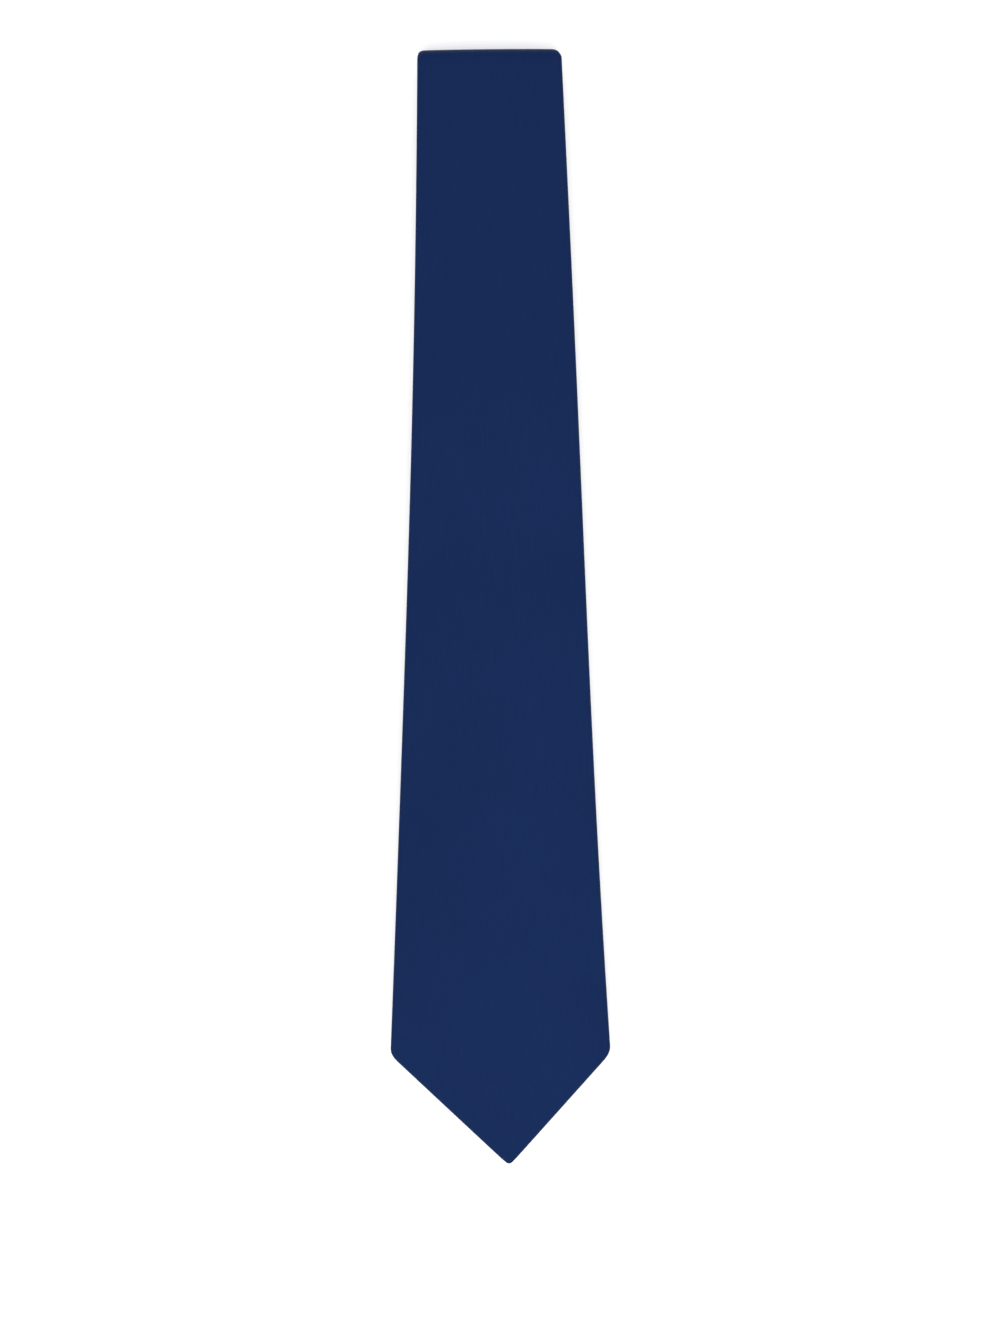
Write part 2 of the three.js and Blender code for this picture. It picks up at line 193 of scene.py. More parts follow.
def sides(along):
    """The x of the left and right side: the flare, cut off at each end by the point's slopes and
    rounded where they meet, and drawn in at each fold by a sine squared."""
    full = half_width(along)
    blade, tail = slope(along, blade_point), slope(tie_length - along, tail_point)
    left = rounded_min((blade_half + point_offset) * blade - point_offset, full, blade_corner)
    right = rounded_min((blade_half - point_offset) * blade + point_offset, full, blade_corner)
    left, right = (rounded_min(tail_half * tail, side, tail_corner) for side in (left, right))
    for mark, left_draw, right_draw in creases:
        turned = np.clip((along - marks[mark]) / (marks[mark + 1] - marks[mark]), 0, 1)
        crease = np.sin(np.pi * turned) ** 2
        left, right = left - left_draw * crease, right - right_draw * crease
    return -left, right


def thickness(along):
    """The heights of the front and back faces: a full panel, thinner towards each point, where
    the interlining stops short, and rounded off as a quarter circle over the last of the tip."""
    tip_share, thin_run, tip_run = 0.62, 60.0, 2.5
    from_tip = np.minimum(along, tie_length - along)
    half = half_panel * (tip_share + (1 - tip_share) * smooth(from_tip / thin_run))
    middle = half - half_panel
    tip = np.clip((from_tip - point_cut) / tip_run, 0, 1)
    half = half * np.sqrt(1 - (1 - tip) ** 2)
    return middle + half, middle - half


def opening(along):
    """The x of the left and right raw edge on the back, as straight lines: from the mitre of the
    hems out to the kite's corner and in to the seam, where the right edge runs under the left."""
    edges = []
    for side, lap in ((-1, 0.0), (1, -underlap)):
        kites = []
        for away, half, point, window, offset in (
            (along, blade_half, blade_point, blade_window, point_offset),
            (tie_length - along, tail_half, tail_point, tail_window, 0.0),
        ):
            rise = hem * np.hypot(half, point) / half
            corner = side * (half - hem)
            kite = np.interp(away, [rise, point + kite_above, window], [offset, corner, 0])
            kites.append(kite + lap * smooth((away - window) / lap_run))
        edges.append(np.where(along < tie_length / 2, *kites))
    return edges


def near(along, turns, level, run):
    """From 1 at the middle of any of these half turns to 0 away from them: level, then a run."""
    away = np.min([abs(along - (marks[k] + marks[k + 1]) / 2) for k in turns], 0)
    return 1 - smooth((away - level) / run)[:, None]


def silk_section(along):
    """One row of the wrapped cloth for each value of along: from the left raw edge out over the
    back, round the left side as half an ellipse, over the front, crowned as a parabola and waved
    by a sine of along, round the right side and back in. Gives x and height of the outer and
    inner faces, and the distance round the cloth."""
    softer_at_fold, side_share = 0.5, 0.3  # the sides roll softer at fold one, and end at a tip
    wave_high, wave_long = 0.04, 11.0
    lap_lift, lap_from, lap_slope = wall + 0.1, 1.8, 1.5  # the right edge lies inside the left
    rim_share = 0.35  # raw edges are pressed to this much of the wall
    left, right = (edge[:, None] for edge in sides(along))
    front, back = (level[:, None] for level in thickness(along))
    lap_left, lap_right = (edge[:, None] for edge in opening(along))
    middle, half = (front + back) / 2, (front - back) / 2
    reach = edge_round * (1 + softer_at_fold * near(along, [1], level=3, run=12))
    reach = np.minimum(reach, side_share * (right - left))
    thin = np.minimum(wall, half / 2)
    thin_side = np.minimum(wall, reach / 2)
    over = np.linspace(0, 1, 30)[None, :]
    turn = np.radians(np.linspace(-90, 90, 13))[None, 1:-1]
    flap = (1 - np.cos(np.linspace(0, np.pi, 15)))[None, :] / 2

    def one_face(inset, inset_side, flat):
        """The five stretches of one face, set in from the outside by the cloth's thickness."""
        low, high = half - inset, half - flat - inset
        tall = np.where(turn < 0, low, high)
        bend_x, bend_z = (reach - inset_side) * np.cos(turn), tall * np.sin(turn)
        bulge = flat * (1 - (2 * over - 1) ** 2)
        wave = wave_high * (1 + np.sin(along[:, None] / wave_long)) * np.sin(np.pi * over) ** 2
        x = [
            lap_left + (left + reach - lap_left) * flap,
            left + reach - bend_x,
            left + reach + (right - left - 2 * reach) * over,
            right - reach + bend_x[:, ::-1],
            right - reach + (lap_right - right + reach) * flap,
        ]
        z = [
            middle - low + 0 * flap,
            middle + bend_z,
            middle + high + bulge - wave * flat / crown,
            middle + bend_z[:, ::-1],
            middle - low + 0 * flap,
        ]
        return x, z

    pressed = 1 - near(along, [3, 5], level=4, run=14)  # no crown beside the lower folds
    flat = np.minimum(crown, 0.3 * half) * pressed
    x_out, z_out = one_face(0 * thin, 0 * thin_side, flat)
    x_in, z_in = one_face(thin, thin_side, flat)
    past_window = np.minimum(along - blade_window, tie_length - tail_window - along)
    closed = smooth(past_window / lap_run)[:, None]
    for face_x, face_z in ((x_out, z_out), (x_in, z_in)):
        face_z[-1] += lap_lift * closed * smooth((lap_from - face_x[-1]) / lap_slope)
    x_out, z_out, x_in, z_in = (np.concatenate(part, 1) for part in (x_out, z_out, x_in, z_in))
    for rim in (0, -1):
        centre = (z_out[:, rim] + z_in[:, rim]) / 2
        z_out[:, rim] = centre + rim_share * (z_out[:, rim] - centre)
        z_in[:, rim] = centre + rim_share * (z_in[:, rim] - centre)
    step = np.hypot(np.diff(x_out, axis=1), np.diff(z_out, axis=1))
    around = np.concatenate([np.zeros((len(along), 1)), np.cumsum(step, 1)], 1)
    return x_out, z_out, x_in, z_in, around - around[:, -1:] / 2


def two_faced_mesh(name, outer, inner, cloth_uv):
    """A closed sheet from two grids of points, with a strip round the rim that joins them.
    The grids run along the rows and across the columns, and cloth_uv is in metres."""
    rows, columns = outer.shape[:2]
    index = np.arange(rows * columns).reshape(rows, columns)
    under = index + rows * columns

    def quads(*corners):
        """Four-sided faces from four arrays of corner numbers."""
        return np.stack(corners, -1).reshape(-1, 4)

    faces = np.concatenate([
        quads(index[:-1, :-1], index[:-1, 1:], index[1:, 1:], index[1:, :-1]),
        quads(under[:-1, :-1], under[1:, :-1], under[1:, 1:], under[:-1, 1:]),
        quads(index[:-1, 0], index[1:, 0], under[1:, 0], under[:-1, 0]),
        quads(index[1:, -1], index[:-1, -1], under[:-1, -1], under[1:, -1]),
        quads(index[0, 1:], index[0, :-1], under[0, :-1], under[0, 1:]),
        quads(index[-1, :-1], index[-1, 1:], under[-1, 1:], under[-1, :-1]),
    ])
    mesh = bpy.data.meshes.new(name)
    points = np.concatenate([outer.reshape(-1, 3), inner.reshape(-1, 3)])
    mesh.from_pydata(points, [], faces)
    mesh.shade_smooth()
    layer = mesh.uv_layers.new(name="cloth")
    flat = np.tile(cloth_uv.reshape(-1, 2), (2, 1))
    layer.data.foreach_set("uv", flat[faces.ravel()].ravel())
    made = bpy.data.objects.new(name, mesh)
    bpy.context.scene.collection.objects.link(made)
    return made


def rows_between(begin, end, spacing=3.0):
    """Distances along the tie from begin to end: close together round a tip, a shoulder and the
    two ends, 12 steps to each half turn, and spacing apart elsewhere."""
    tip_run, fold_room, shoulder_reach = 12, 1.2, 6
    tips = tip_start + tip_run * np.linspace(0, 1, 16) ** 2
    turns = [np.linspace(marks[k], marks[k + 1], 13) for k in (1, 3, 5)]
    plain = np.linspace(begin, end, round((end - begin) / spacing) + 1)
    plain = plain[(plain > tips[-1] + 1) & (plain < tie_length - tips[-1] - 1)]
    for turn in turns:
        plain = plain[(plain <= turn[0] - fold_room) | (plain >= turn[-1] + fold_room)]
    round_shoulder = np.linspace(-shoulder_reach, shoulder_reach, 17)
    shoulders = [blade_point + round_shoulder, tie_length - tail_point - round_shoulder]
    rims = np.array([0, 0.15, 0.4, 0.8, 1.4])
    ends = [begin + rims, end - rims]
    found = np.concatenate([tips, tie_length - tips, plain, *turns, *shoulders, *ends])
    found = np.unique(np.round(found, 5))
    return found[(found >= begin) & (found <= end)]


def slanted(rows, x, first, last):
    """Distances along the tie with the first and last rows leaning at 45 degrees, as the bias
    seams do. The lean dies out over a run."""
    lean_run = 90.0
    lean = np.zeros_like(rows)
    if first is not None:
        lean += 1 - smooth((rows - first) / lean_run)
    if last is not None:
        lean += 1 - smooth((last - rows) / lean_run)
    return rows[:, None] + lean[:, None] * x


def silk_length(name, first, last):
    """One length of wrapped silk between two seams, or from a seam to a point. It dips into a
    fine groove at a seam, as one less an exponential of the distance."""
    seam_gap, groove_deep, groove_wide = 0.005, 0.3, 0.3
    begin = round(tip_start if first is None else first + seam_gap, 5)
    end = round(tie_length - tip_start if last is None else last - seam_gap, 5)
    rows = rows_between(begin, end)
    x_out, z_out, x_in, z_in, around = silk_section(rows)
    for seam in (first, last):
        if seam is not None:
            groove = (1 - groove_deep * np.exp(-abs(rows - seam) / groove_wide))[:, None]
            z_out, z_in = z_out * groove, z_in * groove
    along = slanted(rows, x_out, first and begin, last and end)
    outer = spot(along, x_out, z_out)
    inner = spot(slanted(rows, x_in, first and begin, last and end), x_in, z_in)
    made = two_faced_mesh(name, outer, inner, np.stack([around, along], -1) * mm)
    cut = (np.ptp(around, 1).max() * mm, (end - begin) * mm)
    area = np.trapz(np.ptp(around, 1), rows) * mm**2
    return made, cut, area


def weave_group():
    """A twill weave on metre coordinates: diagonal ribs at 45 degrees, as a sine of x plus y over
    the pitch, with the single yarns across them as a finer sine, and slow slubs along the yarn."""
    rib_share, yarn_share, yarns_to_a_rib = 0.32, 0.16, 3
    group = bpy.data.node_groups.new("twill weave", "ShaderNodeTree")
    face = group.interface
    face.new_socket("Cloth", in_out="INPUT", socket_type="NodeSocketVector")
    face.new_socket("Pitch", in_out="INPUT", socket_type="NodeSocketFloat")
    face.new_socket("Height", in_out="OUTPUT", socket_type="NodeSocketFloat")
    face.new_socket("Slub", in_out="OUTPUT", socket_type="NodeSocketFloat")
    nodes, links = group.nodes, group.links
    start, finish = nodes.new("NodeGroupInput"), nodes.new("NodeGroupOutput")

    def maths(operation, *values):
        """One step of arithmetic on sockets and plain numbers."""
        node = nodes.new("ShaderNodeMath")
        node.operation = operation
        for socket, value in zip(node.inputs, values):
            if isinstance(value, (int, float)):
                socket.default_value = value
            else:
                links.new(value, socket)
        return node.outputs[0]

    parts = nodes.new("ShaderNodeSeparateXYZ")
    links.new(start.outputs["Cloth"], parts.inputs[0])
    across = maths("DIVIDE", parts.outputs[0], start.outputs["Pitch"])
    up = maths("DIVIDE", parts.outputs[1], start.outputs["Pitch"])
    around = 2 * np.pi
    rib = maths("SINE", maths("MULTIPLY", maths("ADD", across, up), around), 0)
    yarn_turn = maths("MULTIPLY", maths("SUBTRACT", across, up), yarns_to_a_rib * around)
    yarn = maths("SINE", yarn_turn, 0)
    mixed = maths("ADD", maths("MULTIPLY", rib, rib_share), maths("MULTIPLY", yarn, yarn_share))
    links.new(maths("ADD", mixed, 0.5), finish.inputs["Height"])
    stretch = nodes.new("ShaderNodeMapping")
    stretch.inputs["Rotation"].default_value[2] = np.radians(45)
    stretch.inputs["Scale"].default_value = (2600, 90, 1)  # slubs are fine across, long along
    noise = nodes.new("ShaderNodeTexNoise")
    noise.inputs["Scale"].default_value = 1.0
    noise.inputs["Detail"].default_value = 3.0
    links.new(start.outputs["Cloth"], stretch.inputs["Vector"])
    links.new(stretch.outputs[0], noise.inputs["Vector"])
    links.new(noise.outputs["Fac"], finish.inputs["Slub"])
    return group


def dye_group():
    """Slow unevenness of dye and finish over a few centimetres, from soft noise."""
    group = bpy.data.node_groups.new("uneven dye", "ShaderNodeTree")
    face = group.interface
    face.new_socket("Place", in_out="INPUT", socket_type="NodeSocketVector")
    face.new_socket("Tone", in_out="OUTPUT", socket_type="NodeSocketFloat")
    nodes, links = group.nodes, group.links
    start, finish = nodes.new("NodeGroupInput"), nodes.new("NodeGroupOutput")
    noise = nodes.new("ShaderNodeTexNoise")
    noise.inputs["Scale"].default_value = 22.0
    noise.inputs["Detail"].default_value = 2.0
    noise.inputs["Roughness"].default_value = 0.4
    links.new(start.outputs["Place"], noise.inputs["Vector"])
    links.new(noise.outputs["Fac"], finish.inputs["Tone"])
    return group


weave, dye = weave_group(), dye_group()


def woven(name, rib, shaded_hollow, pitch, relief, roughness, slub=0.5, dye_share=0.25):
    """A woven cloth: its colour runs from the shaded hollow to the rib with the weave, the slubs
    (by slub) and the dye (by dye_share), and the ribs stand up by relief. The darker colour in
    the weave's hollows is painted shade; in the darker slubs and dye it is the cloth's own tone.
    Pitch and relief are in metres. The gloss and sheen that are the same all over are set by
    the caller."""
    # A Mix node's sockets are 0 for the factor, 2 and 3 for numbers, and 6 and 7 for colours.
    gloss_swing = 0.08
    made = bpy.data.materials.new(name)
    made.use_nodes = True
    nodes, links = made.node_tree.nodes, made.node_tree.links
    surface = nodes["Principled BSDF"]
    coords, place = nodes.new("ShaderNodeUVMap"), nodes.new("ShaderNodeTexCoord")
    coords.uv_map = "cloth"
    twill, tone = nodes.new("ShaderNodeGroup"), nodes.new("ShaderNodeGroup")
    twill.node_tree, tone.node_tree = weave, dye
    twill.inputs["Pitch"].default_value = pitch
    links.new(coords.outputs[0], twill.inputs["Cloth"])
    links.new(place.outputs["Object"], tone.inputs["Place"])
    blend = nodes.new("ShaderNodeMix")
    blend.data_type = "FLOAT"
    blend.inputs[0].default_value = slub
    links.new(twill.outputs["Height"], blend.inputs[2])
    links.new(twill.outputs["Slub"], blend.inputs[3])
    again = nodes.new("ShaderNodeMix")
    again.data_type = "FLOAT"
    again.inputs[0].default_value = dye_share
    links.new(blend.outputs[0], again.inputs[2])
    links.new(tone.outputs["Tone"], again.inputs[3])
    # darker where the weave is low, as painted shade in its hollows, and where slubs and dye are
    # darker, as the cloth's own tone
    colour = nodes.new("ShaderNodeMix")
    colour.data_type = "RGBA"
    colour.inputs[6].default_value, colour.inputs[7].default_value = shaded_hollow, rib
    links.new(again.outputs[0], colour.inputs[0])
    links.new(colour.outputs[2], surface.inputs["Base Color"])
    gloss = nodes.new("ShaderNodeMapRange")
    gloss.inputs["To Min"].default_value = roughness + gloss_swing
    gloss.inputs["To Max"].default_value = roughness - gloss_swing
    links.new(again.outputs[0], gloss.inputs["Value"])
    links.new(gloss.outputs[0], surface.inputs["Roughness"])
    bump = nodes.new("ShaderNodeBump")
    bump.inputs["Distance"].default_value = relief
    bump.inputs["Strength"].default_value = 0.9
    links.new(blend.outputs[0], bump.inputs["Height"])
    links.new(bump.outputs[0], surface.inputs["Normal"])
    return made, surface


silk, silk_surface = woven("navy silk twill", silk_navy, silk_shadow, 0.00042, 0.00008, 0.48)
silk_surface.inputs["Specular IOR Level"].default_value = 0.08
silk_surface.inputs["Specular Tint"].default_value = (0.16, 0.34, 0.85, 1)
silk_surface.inputs["Sheen Weight"].default_value = 0.08
silk_surface.inputs["Sheen Roughness"].default_value = 0.35
silk_surface.inputs["Sheen Tint"].default_value = (0.12, 0.28, 0.80, 1)

silk_lengths = (
    ("blade_silk", None, blade_seam, "front_panel", "second_panel", 0,
     ("blade_shell_front", "fold_one_shell", "blade_shell_rear")),
    ("neck_silk", blade_seam, tail_seam, "second_panel", "third_panel", 1,
     ("neck_shell_front", "fold_two_shell", "neck_shell_rear")),
    ("tail_silk", tail_seam, None, "third_panel", "tail_panel", 2,
     ("tail_shell_front", "fold_three_shell", "tail_shell_rear")),
)


def bend_at(made):
    """Bakes the piece's placement into its mesh; the piece is not bent at any fold."""
    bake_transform(made)


for name, first, last, upper, lower, number, stands_for in silk_lengths:
    length, cut, area = silk_length(name, first, last)
    length.data.materials.append(silk)
    bend_at(length)
    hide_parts(*stands_for)


# ---------------------------------------------------------------------------------------------
# The interlining: a strip of brushed wool cloth the shape of the finished tie, which gives it
# its body. The silk is wrapped round it and only the slip stitch holds it; three lengths here.
# the darker colour is painted shade in the weave's hollows, and the wool's own tone in darker slubs and
# dye
wool_pale, wool_tone_and_shade = (0.62, 0.59, 0.52, 1), (0.42, 0.40, 0.35, 1)
wool_in = 1.4  # it stops this far inside the rolled sides
wool_from_tip = 6.0  # and this far from the tie's points
wool_room = 0.05  # between it and the front silk


def wool_length(name, begin, end):
    """A flat strip inside the silk, whose sides follow the tie's. Its faces are level, and round
    off at the sides as a twelfth power of the distance from the middle."""
    row_step, edge_power, thinnest = 6.0, 12, 0.05
    top_round, base_round = 0.25, 0.05
    above_lap = 2 * wall + 0.15
    first, last = max(begin, wool_from_tip), min(end, tie_length - wool_from_tip)
    rows = rows_between(first, last, row_step)
    left, right = sides(rows)
    front, back = thickness(rows)
    share = np.linspace(0, 1, 13)[None, :]
    edge = (2 * share - 1) ** edge_power
    x = (left + wool_in)[:, None] + (right - left - 2 * wool_in)[:, None] * share
    top = (front - crown - wall - wool_room)[:, None] - top_round * edge
    base = (back + above_lap)[:, None] + base_round * edge
    top = np.maximum(top, base + thinnest)
    outer, inner = spot(rows[:, None], x, top), spot(rows[:, None], x, base)
    made = two_faced_mesh(name, outer, inner, np.stack([x, rows[:, None] + 0 * x], -1) * mm)
    area = np.trapz(x[:, -1] - x[:, 0], rows) * mm**2
    return made, ((x[:, -1] - x[:, 0]).max() * mm, np.ptp(rows) * mm), area


wool, wool_surface = woven("brushed wool", wool_pale, wool_tone_and_shade, 0.0011, 0.00012, 0.92, slub=0.7)
wool_surface.inputs["Sheen Weight"].default_value = 0.5
wool_surface.inputs["Sheen Roughness"].default_value = 0.6
first_join, second_join, join_gap = marks[2] + 30, marks[4] + 60, 0.2
wool_lengths = (
    ("front_wool", 0.0, first_join, "front_panel", "second_panel", 0,
     ("blade_interlining", "fold_one_interlining")),
    ("middle_wool", first_join + join_gap, second_join, "second_panel", "third_panel", 1,
     ("second_interlining", "fold_two_interlining")),
    ("rear_wool", second_join + join_gap, tie_length, "third_panel", "tail_panel", 2,
     ("third_interlining", "fold_three_interlining", "tail_interlining")),
)
for name, begin, end, upper, lower, number, stands_for in wool_lengths:
    length, cut, area = wool_length(name, begin, end)
    length.data.materials.append(wool)
    bend_at(length)
    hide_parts(*stands_for)


# ---------------------------------------------------------------------------------------------
# The tipping: a kite of satin lining behind each point. Its edges lie under the turned-in hem,
# where they are felled down by hand, so only the middle shows in the opening of the back.
# the deeper colour is painted shade in the satin's hollows, and the lining's own tone in darker slubs
# and dye
lining_blue, lining_tone_and_shade = (0.012, 0.035, 0.115, 1), (0.008, 0.024, 0.085, 1)
lining_thick, tucked = 0.3, 5.0  # its thickness, and how far it runs under the hems
lining_from_tip, lining_past_window = 6.5, 4.0
lining, lining_surface = woven(
    "satin lining", lining_blue, lining_tone_and_shade, 0.00022, 0.00001, 0.34, slub=0.8
)
lining_surface.inputs["Specular IOR Level"].default_value = 0.3
lining_surface.inputs["Specular Tint"].default_value = (0.35, 0.5, 0.9, 1)
lining_surface.inputs["Sheen Weight"].default_value = 0.05
lining_surface.inputs["Sheen Tint"].default_value = (0.3, 0.45, 0.9, 1)


def tipping(name, begin, end, toward):
    """The kite's outline carried under the silk, between two distances along the tie, and waved
    slightly as a sine each way."""
    inside_sides, narrowest, off_silk = 1.6, 0.5, 0.05
    wave_high, wave_long = 0.04, 4.0
    rows = np.linspace(begin, end, 41)
    left, right = sides(rows)
    kite_left, kite_right = opening(rows)
    low = np.maximum(np.minimum(kite_left, kite_right) - tucked, left + inside_sides)
    high = np.minimum(np.maximum(kite_left, kite_right) + tucked, right - inside_sides)
    high = np.maximum(high, low + narrowest)
    share = np.linspace(0, 1, 19)[None, :]
    x = low[:, None] + (high - low)[:, None] * share
    wave = wave_high * np.sin(rows / wave_long)[:, None] * np.sin(np.pi * share)
    base = (thickness(rows)[1] + wall + off_silk)[:, None] + wave
    outer, inner = spot(rows[:, None], x, base + lining_thick), spot(rows[:, None], x, base)
    made = two_faced_mesh(name, outer, inner, np.stack([x, rows[:, None] + 0 * x], -1) * mm)
    made.data.materials.append(lining)
    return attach(made, toward)


blade_lining_end = blade_window + lining_past_window
blade_lining = tipping("blade_lining", lining_from_tip, blade_lining_end, "front_panel")
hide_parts("blade_tipping")
tail_ends = tie_length - tail_window - lining_past_window, tie_length - lining_from_tip
tail_lining = tipping("tail_lining", *tail_ends, "tail_panel")
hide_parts("tail_tipping")


# ---------------------------------------------------------------------------------------------
# The slip stitch: one long silk thread that closes the back seam, with a short slanting stitch
# over the lapped edge about every 9 mm. It is left loose so that the tie can give when tied.
# the darker colour is painted shade in the thread's hollows, and its own tone in darker slubs and dye
thread_navy, thread_tone_and_shade = (0.010, 0.032, 0.125, 1), (0.004, 0.014, 0.060, 1)
stitch_step, stitch_long, thread_half = 9.0, 3.6, 0.16  # spacing, length and radius


def thread_mesh(name, runs, radius):
    """Round threads, one for each row of runs (thread, point, xyz in metres), as circles carried
    along the points. The radius falls towards both ends as the root of a sine, so that each dives
    into the cloth. The cloth map has the way round the thread, and the distance along it."""
    thread_sides, map_width = 8, 1.1
    nearly_up = np.array([0.03, 0.02, 1.0])  # no thread runs along this
    end_share = 0.08  # of the sine's half turn, left off at each end
    count, points = runs.shape[:2]
    heading = np.gradient(runs, axis=1)
    heading /= np.linalg.norm(heading, axis=2, keepdims=True)
    side = np.cross(heading, nearly_up)
    side /= np.linalg.norm(side, axis=2, keepdims=True)
    rise = np.cross(side, heading)
    angle = np.arange(thread_sides) / thread_sides * 2 * np.pi
    swell = np.sin(np.pi * np.linspace(end_share, 1 - end_share, points)) ** 0.5
    cosine, sine = np.cos(angle)[:, None], np.sin(angle)[:, None]
    ring = side[:, :, None, :] * cosine + rise[:, :, None, :] * sine
    place = runs[:, :, None, :] + ring * radius * mm * swell[None, :, None, None]
    index = np.arange(count * points * thread_sides).reshape(count, points, thread_sides)
    following = np.roll(index, -1, axis=2)
    walls = np.stack([index[:, :-1], following[:, :-1], following[:, 1:], index[:, 1:]], -1)
    walls = walls.reshape(-1, 4)
    ends = np.concatenate([index[:, 0, ::-1], index[:, -1]])
    faces = [*walls.tolist(), *ends.tolist()]
    mesh = bpy.data.meshes.new(name)
    mesh.from_pydata(place.reshape(-1, 3), [], faces)
    mesh.shade_smooth()
    distance = np.cumsum(np.linalg.norm(np.gradient(runs, axis=1), axis=2), 1)[:, :, None]
    around = np.broadcast_to(angle / (2 * np.pi) * map_width * mm, index.shape)
    flat = np.stack([around, distance + 0 * around], -1).reshape(-1, 2)
    corner = np.concatenate([walls.ravel(), ends.ravel()])
    mesh.uv_layers.new(name="cloth").data.foreach_set("uv", flat[corner].ravel())
    made = bpy.data.objects.new(name, mesh)
    bpy.context.scene.collection.objects.link(made)
    return made


thread, thread_surface = woven("silk thread", thread_navy, thread_tone_and_shade, 0.00055, 0.00004, 0.4, slub=0.3)
thread_surface.inputs["Specular IOR Level"].default_value = 0.4
thread_surface.inputs["Sheen Weight"].default_value = 0.2


def slip_stitch(name, begin, end, body, stands_for):
    """Slanting stitches along the seam, each a shallow parabola over the lapped edge."""
    stitch_x, slant, sunk, arch = 0.25, 0.75, 0.12, 0.3
    count = int((end - begin) / stitch_step)
    centre = begin + (np.arange(count)[:, None] + 0.5) * (end - begin) / count
    share = np.linspace(-1, 1, 9)[None, :]
    along = centre + share * stitch_long / 2
    height = -half_panel + sunk + arch * share**2
    runs = spot(along, stitch_x + slant * share, height)
    made = thread_mesh(name, runs, thread_half)
    made.data.materials.append(thread)
    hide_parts(stands_for)
    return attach(made, body)


from_fold, from_window = 6.0, 8.0  # where the runs stop
seam_ends = (
    ("front", "front_panel", blade_window + from_window, marks[1] - from_fold, "blade"),
    ("second", "second_panel", marks[2] + from_fold, marks[3] - from_fold, "second"),
    ("third", "third_panel", marks[4] + from_fold, marks[5] - from_fold, "third"),
    ("tail", "tail_panel", marks[6] + from_fold, tie_length - tail_window - from_window, "tail"),
)
for place, body, begin, end, run in seam_ends:
    slip_stitch(f"{place}_slip_stitches", begin, end, body, f"{run}_slip_stitch")


# ---------------------------------------------------------------------------------------------
# The bar tacks: a close row of thread turns across the top of each opening, which takes the
# strain where the lapped edges part, and the small felling stitches along the linings' hems.
bar_turns, bar_long = 12, 8.0  # turns, and how far the row reaches across
bar_past_window = 1.2
felling_step = 4.0  # between the stitches that hold the lining under the hems
felling_from_window, felling_from_tip = 4.0, 14.0


def bar_tack(name, at, body, stands_for):
    """Thread turns side by side across the seam, each an arch along the tie as a fourth power,
    and each a little out of line by a sine."""
    half_long, slant, bar_radius = 0.75, 0.15, 0.3
    sunk, arch = 0.02, 0.35
    uneven, uneven_step = 0.12, 2.4  # how far, and the sine's radians from turn to turn
    across = ((np.arange(bar_turns) + 0.5) / bar_turns - 0.5)[:, None] * bar_long
    share = np.linspace(-1, 1, 9)[None, :]
    wobble = uneven * np.sin(np.arange(bar_turns) * uneven_step)[:, None]
    height = -half_panel + sunk + arch * share**4
    runs = spot(at + wobble + share * half_long, across + slant * share, height)
    made = thread_mesh(name, runs, bar_radius)
    made.data.materials.append(thread)
    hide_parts(stands_for)
    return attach(made, body)


def felling(name, begin, end, body):
    """Small stitches across both hems of an opening, evenly spaced along the tie, each a shallow
    arch, as a fourth power, from the silk's turned edge down on to the lining."""
    past_edge, half_long, slant, felling_radius = 0.15, 0.75, 0.35, 0.11
    sunk, arch = 0.06, 0.2
    hem_end, step_down = 0.2, 0.22  # past this share of the stitch it lies on the lining
    count = int((end - begin) / felling_step)
    at = np.linspace(begin, end, count)[:, None]
    share = np.linspace(-1, 1, 7)[None, :]
    runs = []
    for side, edge in zip((-1, 1), opening(at[:, 0])):
        across = edge[:, None] + side * (past_edge - half_long * share)
        height = -half_panel + sunk + arch * share**4 + step_down * (share > hem_end)
        runs.append(spot(at + slant * share, across, height))
    made = thread_mesh(name, np.concatenate(runs), felling_radius)
    made.data.materials.append(thread)
    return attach(made, body)


tail_opens = tie_length - tail_window
bar_tack("blade_tack_threads", blade_window + bar_past_window, "front_panel", "blade_bar_tack")
bar_tack("tail_tack_threads", tail_opens - bar_past_window, "tail_panel", "tail_bar_tack")
felling("blade_felling", felling_from_tip, blade_window - felling_from_window, "front_panel")
tail_felling_ends = tail_opens + felling_from_window, tie_length - felling_from_tip
felling("tail_felling", *tail_felling_ends, "tail_panel")


# ---------------------------------------------------------------------------------------------
# The keeper loop: a folded band of the same silk across the back of the blade, which holds the
# tail when the tie is worn. Its two ends are tacked down through the back of the silk.
keeper_low, keeper_high = cad("keeper_loop")
keeper_past = 1.0  # the band runs this far past its solid at each side


def on_front(y):
    """The distance along the tie of a place on the front panel."""
    return y - blade_tip_y


def keeper():
    """A flat tube of silk: its section is a flat superellipse, one half of it to each face, and
    it is carried across the back on a shallow arch that comes up to the silk at both ends."""
    band_thick, inner_share, squareness = 0.26, 0.6, 0.6
    hang, hang_run, lift = 0.62, 5.0, 0.28
    edge_pull, edge_power = 0.18, 0.3  # how the band's long edges are squared
    reach = keeper_high[0] + keeper_past
    across = np.linspace(-reach, reach, 61)[:, None]
    band = (keeper_high[1] - keeper_low[1]) / 2
    middle = on_front((keeper_high[1] + keeper_low[1]) / 2)
    angle = np.radians(np.linspace(0, 180, 25))[None, :]
    squared = 1 - edge_pull + edge_pull * np.abs(np.cos(angle)) ** edge_power
    wide = middle + band * np.cos(angle) * squared
    half = band_thick * np.sin(angle) ** squareness
    level = -half_panel + lift - hang * smooth((reach - abs(across)) / hang_run)
    outer = spot(wide, across, level - half)
    inner = spot(wide, across, level + half * inner_share)
    flat = np.stack([across + 0 * angle, wide + 0 * across], -1) * mm
    return two_faced_mesh("keeper_band", outer, inner, flat)


keeper_band = keeper()
keeper_band.data.materials.append(silk)
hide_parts("keeper_loop")
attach(keeper_band, "front_panel")

